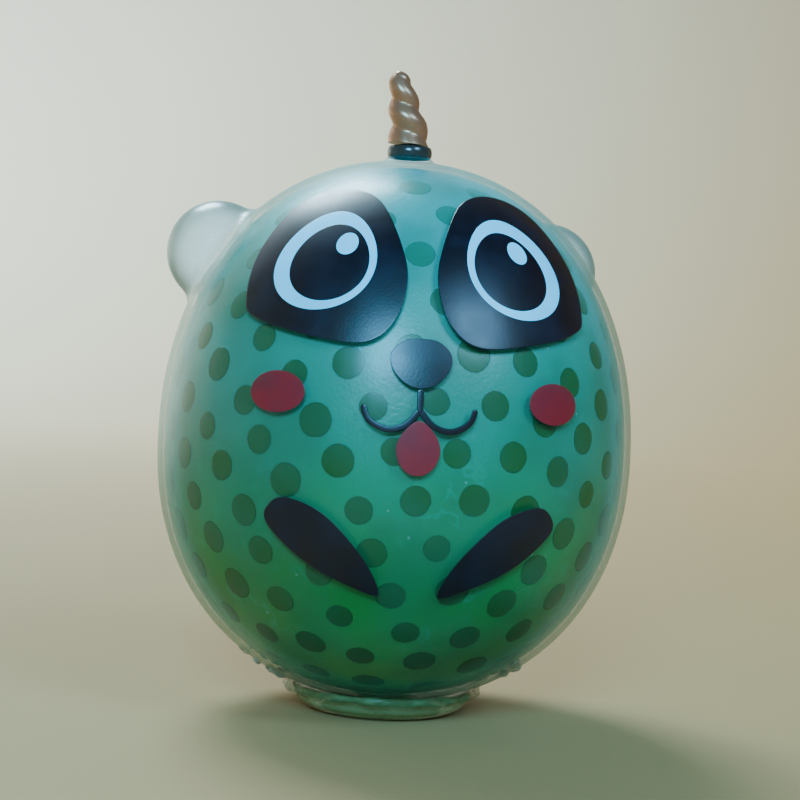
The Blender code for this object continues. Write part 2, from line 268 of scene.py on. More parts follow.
class Finish(Tree):
    """A material for one of the ball's surfaces."""

    def __init__(self, name):
        self.material = bpy.data.materials.new(name)
        self.material.use_nodes = True
        super().__init__(self.material.node_tree)
        self.tree.nodes.clear()
        self.place = self.node("ShaderNodeTexCoord").other("Object")

    def noise(self, size, detail=2.0, place=None):
        """Soft random spots of about this size in metres, from 0 to 1."""
        return self.node("ShaderNodeTexNoise", None,
                         {"Vector": place or self.place, "Scale": 1.0 / size, "Detail": detail})

    def height(self):
        """How far up each point is, in metres."""
        return self.split(self.place)[2]

    def mix(self, share, first, second):
        """One colour fading into another."""
        first, second = ((c if isinstance(c, Wire) else (*c, 1.0)) for c in (first, second))
        return self.node("ShaderNodeMix", {"data_type": "RGBA"},
                         {0: share, 6: first, 7: second}, out=2)

    def stored(self, name):
        """A number stored on the mesh's points."""
        return self.node("ShaderNodeAttribute", {"attribute_name": name}).other("Fac")

    def limb(self, blend=0.5):
        """0 where a surface faces the eye, 1 where it turns away."""
        return self.node("ShaderNodeLayerWeight", None, {"Blend": blend}).other("Facing")

    def bump(self, height, depth, strength=1.0):
        return self.node("ShaderNodeBump", None,
                         {"Height": height, "Distance": depth, "Strength": strength})

    def made_of(self, **sockets):
        """Ends the tree in one Principled shader."""
        named = {name.replace("_", " "): value for name, value in sockets.items()}
        shader = self.node("ShaderNodeBsdfPrincipled", None, named)
        self.node("ShaderNodeOutputMaterial", None, {"Surface": shader})
        return self.material


def dress(piece, material, body, slot, *nodes):
    """Gives a piece its finish and its body, and hides the plain nodes it stands for. The slot is not
    used.
    """
    piece.data.materials.clear()
    piece.data.materials.append(material)
    if body:
        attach(piece, body)
    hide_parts(*nodes)
    print(f"{piece.name}: {len(piece.data.polygons)} faces, finish {material.name}")
    return piece


def soften(piece):
    """Gives a piece of the soft ball a mesh of its own."""
    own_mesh(piece)
    return piece


# %% [markdown]
# ## The clear skin
#
# The skin is a clear, rubbery egg with two hollow domes for ears and a low boss under
# the horn, and where they meet it is rounded, because it came out of a mould. Joining
# spheres to an egg with a Boolean would leave creases. Instead the shape is written as
# a distance: each part says how far a point is from it, and a *smooth union* melts the
# parts together over a fillet. A fine ball of triangles is then drawn onto the surface
# where that distance is nothing, and relaxed until its triangles are even.

# %% The clear skin's shape
EAR_RADIUS = 7.7 * MM
EAR_WALL = 1.6 * MM
EAR_LEVEL = 65.2
EAR_SPREAD = 109.0
EAR_TWIST = 12.0
EAR_FILLET = 2.2 * MM
BOSS_RADIUS = 3.0 * MM
BOSS_RISE = 0.9 * MM
BOSS_EDGE = 0.3 * MM
BOSS_FILLET = 1.6 * MM
HOLE_RADIUS = 4.5 * MM
EARS = on_ball([EAR_TWIST - EAR_SPREAD, EAR_TWIST + EAR_SPREAD], [EAR_LEVEL, EAR_LEVEL])


def smooth_union(first, second, fillet):
    near = np.maximum(fillet - np.abs(first - second), 0.0) / fillet
    return np.minimum(first, second) - near * near * fillet / 4.0


def with_ears(distance, points, radius, fillet):
    for ear in EARS:
        distance = smooth_union(distance, np.linalg.norm(points - ear, axis=1) - radius, fillet)
    return distance


def boss_distance(points):
    """How far points are from the boss, a low round post with an eased edge."""
    beside = np.hypot(points[:, 0], points[:, 1]) - (BOSS_RADIUS - BOSS_EDGE)
    above = np.abs(points[:, 2] - CROWN_Z) - (BOSS_RISE - BOSS_EDGE)
    outside = np.hypot(np.maximum(beside, 0.0), np.maximum(above, 0.0))
    return outside + np.minimum(np.maximum(beside, above), 0.0) - BOSS_EDGE


def skin_outside(points):
    distance = with_ears(ball_distance(points), points, EAR_RADIUS, EAR_FILLET)
    return smooth_union(distance, boss_distance(points), BOSS_FILLET)


def skin_inside(points):
    return with_ears(ball_distance(points, -SKIN_WALL), points, EAR_RADIUS - EAR_WALL,
                     EAR_FILLET / 2)


# %% Drawing a mesh onto the shape
def slope(distance, points, reach=0.01 * MM):
    """The direction in which a distance grows fastest at each point."""
    parts = []
    for axis in range(3):
        shift = np.zeros(3)
        shift[axis] = reach
        parts.append(distance(points + shift) - distance(points - shift))
    normals = np.column_stack(parts)
    return normals / np.linalg.norm(normals, axis=1)[:, None]


def shrink_onto(distance, fineness, rounds=30):
    """Points and triangles of an even mesh on the surface where a distance is 0."""
    ball = bmesh.new()
    bmesh.ops.create_icosphere(ball, subdivisions=fineness, radius=1.0)
    directions = np.array([v.co for v in ball.verts])
    ends = np.array([[v.index for v in edge.verts] for edge in ball.edges])
    faces = [[v.index for v in face.verts] for face in ball.faces]
    ball.free()
    reach = np.full(len(directions), 1.6 * CROWN_RISE)
    for _ in range(60):
        reach -= 0.8 * distance(CENTRE + directions * reach[:, None])
    points = CENTRE + directions * reach[:, None]
    neighbours = np.bincount(ends.ravel(), minlength=len(points))[:, None]
    for _ in range(rounds):
        total = np.zeros_like(points)
        for axis in range(3):
            total[:, axis] = (np.bincount(ends[:, 0], points[ends[:, 1], axis], len(points))
                              + np.bincount(ends[:, 1], points[ends[:, 0], axis], len(points)))
        points += 0.6 * (total / neighbours - points)
        points -= distance(points)[:, None] * slope(distance, points)
    points -= distance(points)[:, None] * slope(distance, points)
    return points, faces


def build_skin():
    outer, outer_faces = shrink_onto(skin_outside, 7)
    inner, inner_faces = shrink_onto(skin_inside, 6)
    inner_faces = [[len(outer) + v for v in reversed(face)] for face in inner_faces]
    skin = add_mesh("skin", np.vstack((outer, inner)), outer_faces + inner_faces)
    hole = bmesh.new()
    bmesh.ops.create_cone(hole, cap_ends=True, segments=64, radius1=HOLE_RADIUS,
                          radius2=HOLE_RADIUS, depth=6 * SKIN_WALL)
    bmesh.ops.translate(hole, verts=hole.verts, vec=(0, 0, FOOT_Z))
    punch = add_mesh("punch", [], [])
    hole.to_mesh(punch.data)
    hole.free()
    cut = skin.modifiers.new("filling_hole", "BOOLEAN")
    cut.operation = "DIFFERENCE"
    cut.object = punch
    settle(skin)
    bpy.data.objects.remove(punch)
    return skin


def mark_ears(piece):
    """Stores which points lie on an ear's dome, and which on the hollow inside it."""
    points = np.array([v.co for v in piece.data.vertices])
    gap = np.min([np.linalg.norm(points - ear, axis=1) for ear in EARS], axis=0) / EAR_RADIUS
    hollow = np.clip((0.94 - gap) / 0.10, 0.0, 1.0)
    dome = np.clip((1.18 - gap) / 0.16, 0.0, 1.0) * (1.0 - hollow)
    for name, values in (("ear_dome", dome), ("ear_hollow", hollow)):
        piece.data.attributes.new(name, "FLOAT", "POINT").data.foreach_set("value", values)


skin = build_skin()
mark_ears(skin)
print(f"skin: ears at {np.round(EARS / MM, 1).tolist()} mm, {len(skin.data.polygons)} faces")

# %% [markdown]
# The finish of the skin is what makes the ball look filled. Soft clear rubber is never
# quite clear: it is faintly milky, and the milk adds up where the eye looks along the
# wall, at the rim of the ball and of each ear. A Layer Weight node says how far the
# surface turns away, and that drives how solid and how pale the skin is. The ears are
# thicker and whiter, so each point also stores whether it is on one. A stored number
# moves with the skin when it is pressed, as a place in space would not.

# %% The clear skin's finish
def clear_skin():
    finish = Finish("clear_skin")
    rim = finish.limb()
    cloud = finish.noise(9 * MM, 3.0) - 0.5
    # Towards the top the skin is made milkier and its rim paler and bluer: partly the skin's milk,
    # partly a painted reflection of the light from above.
    high = finish.step(finish.height(), 58 * MM, 84 * MM)
    milk = finish.step(rim, 0.58, 0.90, 0.015, 0.68) + cloud * 0.05 + high * 0.04
    edge = finish.mix(high, (0.045, 0.26, 0.15), (0.09, 0.38, 0.34))
    tint = finish.mix(finish.step(rim, 0.50, 0.85), (0.02, 0.62, 0.70), edge)
    dome = finish.stored("ear_dome")
    hollow = finish.stored("ear_hollow")
    pale = finish.mix(finish.step(rim, 0.08, 0.62), (0.55, 0.86, 0.88), (0.12, 0.24, 0.20))
    tint = finish.mix(dome, tint, pale)
    ear_milk = finish.step(rim, 0.10, 0.90, 0.30, 0.85)
    alpha = milk * (1.0 - dome - hollow) + dome * ear_milk + hollow * 0.02
    grain = finish.noise(0.5 * MM, 2.0) + finish.noise(3.0 * MM, 2.0) * 2.0
    return finish.made_of(Base_Color=tint, Alpha=alpha, Roughness=0.28, IOR=1.7,
                          Normal=finish.bump(grain, 0.02 * MM, 0.5))


soften(dress(skin, clear_skin(), "ball", "clear_rubber", "outer_skin"))

# %% [markdown]
# ## The bladder and its gel
#
# The bladder is a green balloon that fills the skin, with a short neck at the foot
# where the gel went in. It is turned from one profile: down the outside, round the end
# of the neck and back up the inside. The gel is the same form again, a little smaller.

# %% The bladder and its gel
BLADDER_INSET = 1.15 * MM
BLADDER_WALL = 1.0 * MM
NECK_RADIUS = 2.7 * MM
NECK_WALL = 1.1 * MM
GEL_INSET = BALL_RADIUS - gel_high.x


def egg_profile(inset, stop=0.0, rows=96):
    """(radius, z) down the egg from its crown, as far as a radius near the foot."""
    profile = [(0.0, CROWN_Z - inset)]
    for row in range(1, rows + 1):
        turn = math.pi * (0.5 - row / rows)
        reach = (CROWN_RISE if turn > 0 else BASE_DROP) - inset
        rise = abs(math.sin(turn)) ** (2.0 / ROUNDNESS) * math.copysign(reach, turn)
        out = math.cos(turn) ** (2.0 / ROUNDNESS) * (BALL_RADIUS - inset) if row < rows else 0.0
        if turn < 0 and out < stop:
            break
        profile.append((out, EQUATOR_Z + rise))
    return profile


def build_bladder():
    neck_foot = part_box("inner_bladder")[0].z
    bore = NECK_RADIUS - NECK_WALL
    outside = egg_profile(BLADDER_INSET, NECK_RADIUS)
    inside = egg_profile(BLADDER_INSET + BLADDER_WALL, bore)
    neck = [(NECK_RADIUS, outside[-1][1] - 0.1 * MM), (NECK_RADIUS, neck_foot),
            (bore, neck_foot), (bore, inside[-1][1] - 0.1 * MM)]
    return turned("bladder", outside + neck + list(reversed(inside)))


bladder = build_bladder()
gel = turned("gel", egg_profile(GEL_INSET, rows=48), 64)

# %% [markdown]
# Green film over gel is brighter where light gets in and darker where it doesn't, with
# slow clouds and creases where the film clings to the skin. Noise at two sizes gives
# those, and a fine noise together with the wisps gives the film its bump.

# %% The bladder's finish
def green_film():
    finish = Finish("green_film")
    cloud = finish.noise(16 * MM, 3.0)
    wisp = finish.noise(3.5 * MM, 4.0)
    # Painted light: the film is a darker, purer green low down and a paler teal towards the top, as if
    # lit from above, and is lighter and warmer near the foot as a painted reflection of the floor.
    low = finish.step(finish.height(), 18 * MM, 50 * MM)
    high = finish.step(finish.height(), 46 * MM, 80 * MM)
    foot = finish.step(finish.height(), 22 * MM, 3 * MM)
    base = finish.mix(low, (0.002, 0.17, 0.014), (0.0, 0.20, 0.12))
    base = finish.mix(foot, base, (0.06, 0.34, 0.08))
    base = finish.mix(high, base, (0.0, 0.38, 0.32))
    shade = finish.mix(finish.step(cloud, 0.35, 0.7) * 0.55, base, (0.0, 0.10, 0.035))
    line = finish.maths("ABSOLUTE", finish.noise(7 * MM, 3.0) - 0.5)
    crinkle = finish.step(line, 0.018, 0.0) * finish.step(finish.noise(11 * MM), 0.50, 0.66)
    colour = finish.mix(finish.step(wisp, 0.58, 0.80) * 0.3, shade, (0.0, 0.30, 0.16))
    colour = finish.mix(crinkle * 0.2, colour, (0.01, 0.36, 0.24))
    return finish.made_of(Base_Color=colour, Roughness=0.34 + cloud * 0.06, Specular_IOR_Level=0.4,
                          Coat_Weight=0.22, Coat_Roughness=0.22,
                          Normal=finish.bump(finish.noise(0.5 * MM, 4.0) + wisp, 0.12 * MM, 0.4))


def green_gel():
    finish = Finish("green_gel")
    colour = finish.mix(finish.noise(6 * MM), (0.02, 0.28, 0.16), (0.03, 0.36, 0.22))
    return finish.made_of(Base_Color=colour, Roughness=0.1)


soften(dress(bladder, green_film(), "ball", "green_rubber", "inner_bladder"))
soften(dress(gel, green_gel(), "ball", "gel", "gel_fill"))

# %% [markdown]
# ## The dots
#
# The dots are printed on the bladder before it is filled, so they come out as rows that
# run round it, each row half a step along from the last. The rows' axis leans, because
# the bladder sits crooked in the skin. This is work for Geometry Nodes: points are
# laid out by a rule, a ray from the middle of the ball finds the bladder behind each,
# and a thin lens is placed there and laid flat on it. Each lens also stores how far
# out from its middle a point is, and the ink fades with that.

# %% A tree of Geometry Nodes
class Growth(Tree):
    """A Geometry Nodes tree with named inputs, grown on one object."""

    def __init__(self, name, inputs):
        self.group = bpy.data.node_groups.new(name, "GeometryNodeTree")
        super().__init__(self.group)
        self.group.interface.new_socket("Geometry", in_out="OUTPUT",
                                        socket_type="NodeSocketGeometry")
        self.values = {}
        for label, (kind, value) in inputs.items():
            self.group.interface.new_socket(label, in_out="INPUT", socket_type="NodeSocket" + kind)
            self.values[label] = value
        self.start = self.node("NodeGroupInput")

    def input(self, label):
        return self.start.other(label)

    def fold(self, *parts):
        """A vector from three numbers."""
        return self.node("ShaderNodeCombineXYZ", None, dict(enumerate(parts)))

    def vector(self, operation, first, second=None, factor=None, out=0):
        sockets = {0: first}
        if second is not None:
            sockets[1] = second
        if factor is not None:
            sockets["Scale"] = factor
        return self.node("ShaderNodeVectorMath", {"operation": operation}, sockets, out)

    def place(self):
        """Where each point is."""
        return self.node("GeometryNodeInputPosition")

    def body(self, label):
        """The mesh of an object that is one of the inputs."""
        return self.node("GeometryNodeObjectInfo", None, {"Object": self.input(label)}).other("Geometry")

    def move(self, geometry, **where):
        return self.node("GeometryNodeSetPosition", None, {"Geometry": geometry, **where})

    def chance(self, low, high, seed):
        """A random number for each point."""
        return self.node("FunctionNodeRandomValue", {"data_type": "FLOAT"},
                         {2: low, 3: high, "Seed": seed}, out=1)

    def scatter(self, label, density):
        """Random points over the mesh of an input."""
        return self.node("GeometryNodeDistributePointsOnFaces", None,
                         {"Mesh": self.body(label), "Seed": self.input("Seed"), "Density": density})

    def put(self, shape, points, rotation, *size):
        """One real copy of a shape at each point."""
        copies = self.node("GeometryNodeInstanceOnPoints", None,
                           {"Points": points, "Instance": shape, "Rotation": rotation,
                            "Scale": self.fold(*size)})
        return self.node("GeometryNodeRealizeInstances", None, {"Geometry": copies})

    def keep(self, geometry, name, value):
        """Stores a number on every point."""
        return self.node("GeometryNodeStoreNamedAttribute", {"data_type": "FLOAT", "domain": "POINT"},
                         {"Geometry": geometry, "Name": name, "Value": value})

    def stored(self, name):
        return self.node("GeometryNodeInputNamedAttribute", {"data_type": "FLOAT"}, {"Name": name})

    def grow(self, name, geometry, material):
        """Ends the tree and returns its result as a plain mesh object."""
        real = self.node("GeometryNodeRealizeInstances", None, {"Geometry": geometry})
        done = self.node("GeometryNodeSetMaterial", None, {"Geometry": real, "Material": material})
        self.node("NodeGroupOutput", None, {"Geometry": done})
        piece = add_mesh(name, [], [])
        modifier = piece.modifiers.new(name, "NODES")
        modifier.node_group = self.group
        for item in self.group.interface.items_tree:
            if item.in_out == "INPUT" and item.name in self.values:
                modifier[item.identifier] = self.values[item.name]
        settle(piece).data.materials.clear()
        piece.data.materials.append(material)
        return piece


# %% The dots' ink
def dot_ink():
    finish = Finish("dot_ink")
    rim = finish.stored("from_middle")
    wear = (finish.noise(1.3 * MM, 2.0) - 0.5) * 0.09
    deep = finish.mix(finish.noise(7 * MM), (0.0, 0.062, 0.004), (0.0, 0.088, 0.012))
    # Painted light: the dots are made paler and bluer towards the top, as if lit from above.
    tone = finish.mix(finish.step(finish.height(), 48 * MM, 80 * MM), deep, (0.0, 0.19, 0.11))
    return finish.made_of(Base_Color=tone, Roughness=0.36, Specular_IOR_Level=0.4,
                          Coat_Weight=0.22, Coat_Roughness=0.22,
                          Alpha=finish.step(rim + wear, 0.71, 0.81, 0.97, 0.0))


# %% Laying out the dots
DOT_RADIUS = 2.75 * MM
DOT_PITCH = 6.66 * MM
DOT_STEP = 8.44 * MM
ROW_LEAN = (-36.0, 0.0, 8.0)


def build_dots():
    tree = Growth("dot_rows", {
        "Bladder": ("Object", bladder), "Radius": ("Float", DOT_RADIUS),
        "Row Pitch": ("Float", DOT_PITCH), "Dot Step": ("Float", DOT_STEP),
        "Thickness": ("Float", 0.05 * MM), "Ball Radius": ("Float", BALL_RADIUS),
        "Lean": ("Vector", tuple(math.radians(a) for a in ROW_LEAN)),
        "Phase": ("Float", 0.0), "Shear": ("Float", 0.116), "Seed": ("Int", 7)})
    middle = tuple(CENTRE)
    index = tree.node("GeometryNodeInputIndex")
    pitch = tree.input("Row Pitch") / tree.input("Ball Radius")
    across = tree.input("Dot Step") / tree.input("Ball Radius")
    most = tree.maths("CEIL", math.tau / across)
    rows = tree.maths("CEIL", math.pi / pitch)
    row = tree.maths("FLOOR", (index + 0.5) / most)
    column = index - row * most
    latitude = (row - tree.maths("FLOOR", rows / 2.0)) * pitch
    ring = tree.maths("MAXIMUM", tree.maths("COSINE", latitude), 0.02)
    count = tree.maths("MAXIMUM", tree.maths("ROUND", math.tau * ring / across), 1.0)
    odd = tree.maths("MODULO", row, 2.0)
    turn = (column + odd * 0.5 + row * tree.input("Shear")) / count * math.tau + tree.input("Phase")
    direction = tree.fold(ring * tree.maths("SINE", turn),
                          -1.0 * (ring * tree.maths("COSINE", turn)),
                          tree.maths("SINE", latitude))
    leaned = tree.node("ShaderNodeVectorRotate", {"rotation_type": "EULER_XYZ"},
                       {"Vector": direction, "Rotation": tree.input("Lean")})
    shaken = tree.node("FunctionNodeRandomValue", {"data_type": "FLOAT_VECTOR"},
                       {0: (-0.012,) * 3, 1: (0.012,) * 3, "Seed": tree.input("Seed")})
    leaned = tree.vector("NORMALIZE", tree.vector("ADD", leaned, shaken))
    points = tree.node("GeometryNodePoints", None, {"Count": rows * most})
    placed = tree.move(points, Position=tree.vector("ADD", leaned, middle))
    spare = tree.node("FunctionNodeCompare", {"data_type": "FLOAT", "operation": "GREATER_EQUAL"},
                      {0: column + 0.5, 1: count})
    placed = tree.keep(placed, "spare", spare)
    placed = tree.node("GeometryNodeDeleteGeometry", {"domain": "POINT"},
                       {"Geometry": placed, "Selection": tree.maths("GREATER_THAN",
                                                                    tree.stored("spare"), 0.5)})
    target = tree.body("Bladder")

    def onto_bladder():
        ray = tree.vector("NORMALIZE", tree.vector("SUBTRACT", tree.place(), middle))
        start = tree.vector("ADD", tree.vector("SCALE", ray, factor=2.0 * BALL_RADIUS), middle)
        back = tree.vector("SCALE", ray, factor=-1.0)
        return tree.node("GeometryNodeRaycast", None,
                         {"Target Geometry": target, "Source Position": start,
                          "Ray Direction": back, "Ray Length": 2.0 * BALL_RADIUS})

    hit = onto_bladder()
    placed = tree.move(placed, Position=hit.other("Hit Position"))
    facing = tree.node("FunctionNodeAlignRotationToVector", {"axis": "Z"},
                       {"Vector": tree.vector("SUBTRACT", tree.place(), middle)})
    lens = tree.node("GeometryNodeMeshUVSphere", None, {"Segments": 16, "Rings": 8, "Radius": 1.0})
    lens = tree.keep(lens, "lift", tree.split(tree.place())[2])
    flat = tree.vector("MULTIPLY", tree.place(), (1.0, 1.0, 0.0))
    lens = tree.keep(lens, "from_middle", tree.vector("LENGTH", flat, out=1))
    size = tree.input("Radius") * tree.chance(0.88, 1.14, 3)
    dots = tree.put(lens, placed, facing, size, size, tree.input("Thickness"))
    hit = onto_bladder()
    lift = tree.stored("lift") * tree.input("Thickness")
    resting = tree.vector("ADD", hit.other("Hit Position"),
                          tree.vector("SCALE", hit.other("Hit Normal"), factor=lift))
    return tree.grow("dots", tree.move(dots, Position=resting), dot_ink())


dots = build_dots()
soften(dress(dots, dots.data.materials[0], "ball", "green_rubber"))

# %% [markdown]
# ## The printed face
#
# Each colour of the face is a film of ink a few hundredths of a millimetre thick that
# follows the skin. An outline is a few points joined by a smooth closed curve. The film
# is made as rings that shrink from the outline to its middle, once on top and once
# underneath, and every point is dropped onto the ball by its bearing and level. Inks
# that lie on others are lifted a little more, as a second pass of the press lays them.

# %% Outlines and films
FACE = {
    "patch": [(13.5, 81.5), (30, 87.0), (47, 83.0), (51.5, 67.0), (48.5, 49.5),
              (43.5, 43.3), (26, 38.1), (12.5, 37.4), (5.6, 47.0), (4.6, 63.5)],
    "nose": [(0, 39.0), (4.0, 38.3), (6.9, 34.6), (6.5, 29.6), (3.7, 25.2), (0, 23.6)],
    "tongue": [(0, 13.6), (3.3, 10.0), (4.8, 5.2), (4.1, 0.4), (2.2, -3.0), (0, -4.0)],
    "arm": [(33.6, -17.8), (34.2, -24.8), (25.0, -37.7), (13.0, -46.4), (7.2, -48.0),
            (11.0, -35.0), (20.0, -19.9), (29.0, -14.6)],
}
EYE = ((27.6, 62.6), (15.0, 16.2))
PUPIL = ((26.0, 61.9), (11.4, 12.5))
GLINT_SHIFT = (4.0, 6.1)
GLINT_SIZE = (3.3, 3.6)
CHEEK = ((33.0, 20.2), (7.0, 6.6))
INK = 0.025 * MM
LIFT = 0.015 * MM


def smooth_curve(knots, loop=True, steps=12):
    """A smooth curve through a few points, closed into a loop or with two ends."""
    knots = np.array(knots, float)
    if loop:
        ends = np.vstack((knots[-1], knots, knots[:2]))
    else:
        ends = np.vstack((2 * knots[0] - knots[1], knots, 2 * knots[-1] - knots[-2]))
    curve = []
    for before, start, end, after in zip(ends, ends[1:], ends[2:], ends[3:]):
        for t in np.arange(steps) / steps:
            bend = 3 * start - before - 3 * end + after
            pull = 2 * before - 5 * start + 4 * end - after + t * bend
            curve.append(start + 0.5 * t * (end - before + t * pull))
    return np.array(curve if loop else curve + [knots[-1]])


def oval(centre, size, steps=72):
    turns = np.arange(steps) * math.tau / steps
    return np.column_stack((centre[0] + size[0] * np.cos(turns),
                            centre[1] + size[1] * np.sin(turns)))


def flipped(outline):
    return np.array(outline, float)[::-1] * (-1.0, 1.0)


def both_halves(half):
    half = np.array(half, float)
    return np.vstack((half, flipped(half[1:-1])))


def film(name, outline, layer=0, rings=14):
    """A closed film of ink inside an outline of bearings and levels."""
    following = np.roll(outline, -1, 0)
    if np.sum(outline[:, 0] * following[:, 1] - outline[:, 1] * following[:, 0]) > 0:
        outline = outline[::-1]
    middle = outline.mean(0)
    shares = [1.0 - (i / rings) ** 1.5 for i in range(rings)]
    low, high = LIFT + layer * INK, LIFT + (layer + 1) * INK
    layers = [(share, low) for share in reversed(shares)]
    layers.append((shares[0], (low + high) / 2.0))
    layers += [(share if share < 1 else 0.995, high) for share in shares]
    loops = []
    for share, lift in layers:
        places = middle + (outline - middle) * share
        loops.append(on_ball(places[:, 0], places[:, 1], lift))
    under, over = (on_ball([middle[0]], [middle[1]], lift)[0] for lift in (low, high))
    return shell(name, under, loops, over)


# %% Ink that bends and wears
def ink(name, colour, worn, roughness, alpha=1.0):
    """An ink whose colour drifts towards a worn one in soft clouds."""
    finish = Finish(name)
    cloud = finish.step(finish.noise(5 * MM, 4.0), 0.35, 0.75)
    speck = finish.step(finish.noise(0.35 * MM, 1.0), 0.68, 0.74)
    tone = finish.mix(cloud * 0.6 + speck * 0.25, colour, worn)
    return finish.made_of(Base_Color=tone, Alpha=alpha - cloud * 0.04,
                          Roughness=roughness + cloud * 0.08, Specular_IOR_Level=0.4,
                          Coat_Weight=0.18, Coat_Roughness=0.24,
                          Normal=finish.bump(finish.noise(0.35 * MM, 3.0), 0.03 * MM, 0.5))


black = ink("black_ink", (0.0, 0.0015, 0.006), (0.0005, 0.007, 0.022), 0.33)
pale = ink("pale_ink", (0.10, 0.72, 1.0), (0.08, 0.64, 0.92), 0.42)
red = ink("red_ink", (0.30, 0.008, 0.018), (0.17, 0.012, 0.026), 0.42, 0.84)

# %% Printing the face
for side, name in ((-1, "left"), (1, "right")):
    turn = (lambda outline: outline) if side > 0 else flipped
    glint = (side * PUPIL[0][0] + GLINT_SHIFT[0], PUPIL[0][1] + GLINT_SHIFT[1])
    prints = [
        ("eye_patch_", turn(smooth_curve(FACE["patch"])), 0, black, "ink_black"),
        ("eye_ring_", turn(oval(*EYE)), 1, pale, "ink_pale"),
        ("pupil_", turn(oval(*PUPIL)), 2, black, "ink_black"),
        ("eye_glint_", oval(glint, GLINT_SIZE, 36), 3, pale, "ink_pale"),
        ("cheek_", turn(oval(*CHEEK, 48)), 0, red, "ink_red"),
        ("arm_", turn(smooth_curve(FACE["arm"])), 0, black, "ink_black"),
    ]
    for stem, outline, layer, material, slot in prints:
        printed = film("print_" + stem + name, outline, layer)
        soften(dress(printed, material, "ball", slot, stem + name))

for name, material, slot in (("nose", black, "ink_black"), ("tongue", red, "ink_red")):
    printed = film("print_" + name, smooth_curve(both_halves(FACE[name])))
    soften(dress(printed, material, "ball", slot, name))

# %% [markdown]
# The mouth is a line, not a patch: a stem from under the nose, forking into two lips
# that curl up at their ends. A line of ink is a ribbon: a smooth path with a width at
# each point, rounded off at its ends.

# %% The mouth
MOUTH_WIDTH = 0.85 * MM
LIP = [(0.0, 16.9), (3.0, 12.2), (7.0, 10.6), (11.0, 13.2), (12.6, 17.9)]
STEM = [(0.0, 23.5), (0.0, 20.0), (0.0, 16.0)]


def ribbon_rows(path, width, lift):
    """Rows of five points across a line of ink, and the way they face."""
    places = on_ball(path[:, 0], path[:, 1])
    normals = ball_normals(places)
    along = np.gradient(places, axis=0)
    along /= np.linalg.norm(along, axis=1)[:, None]
    side = np.cross(along, normals)
    gone = np.concatenate(([0.0], np.cumsum(np.linalg.norm(np.diff(places, axis=0), axis=1))))
    left = np.minimum(gone, gone[-1] - gone)
    half = width / 2.0
    wide = np.sqrt(np.clip(1.0 - (1.0 - np.minimum(left / half, 1.0)) ** 2, 0.02, 1.0)) * half
    rows = []
    for share, height in ((-1.0, 0.0), (-0.8, 1.0), (0.0, 1.0), (0.8, 1.0), (1.0, 0.0), (0.0, 0.0)):
        rows.append(places + side * (wide * share)[:, None] + normals * (lift + INK * height))
    return rows


def ribbon(path, width, lift, first):
    """Points and faces of one closed ribbon, numbered from a first point."""
    rows = ribbon_rows(path, width, lift)
    points = np.vstack(rows)
    count, around = len(path), len(rows)
    faces = []
    for row in range(around):
        following = (row + 1) % around
        for i in range(count - 1):
            a, b = first + row * count + i, first + following * count + i
            faces.append((b, b + 1, a + 1, a))
    for end in (0, count - 1):
        cap = [first + row * count + end for row in range(around)]
        faces.append(tuple(reversed(cap) if end == 0 else cap))
    return points, faces


points, faces = [], []
for path, layer in ((LIP, 0), ([(-b, l) for b, l in LIP], 0.1), (STEM, 0.2)):
    made, joined = ribbon(smooth_curve(path, loop=False), MOUTH_WIDTH, LIFT + layer * INK, len(points))
    points += list(made)
    faces += joined
mouth = add_mesh("print_mouth", points, faces)
soften(dress(mouth, black, "ball", "ink_black", "mouth_line"))

# %% [markdown]
# ## The horn
#
# The horn is soft plastic moulded as a narrow shell that winds round and round, each
# turn a rounded swelling with a soft valley above and below it. That is a rule, so
# Geometry Nodes make it: a grid is rolled into a tube, and each point's radius follows
# how far up its turn it is. The foot droops at its edge to sit on the collar. The tube is
# sheared to lean, which keeps its foot flat on the collar.

# %% The horn's shape
HORN_LEAN = 12.0
COLLAR_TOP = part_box("horn_collar")[1].z
HORN_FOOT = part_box("horn")[0].z
HORN_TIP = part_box("horn")[1].z


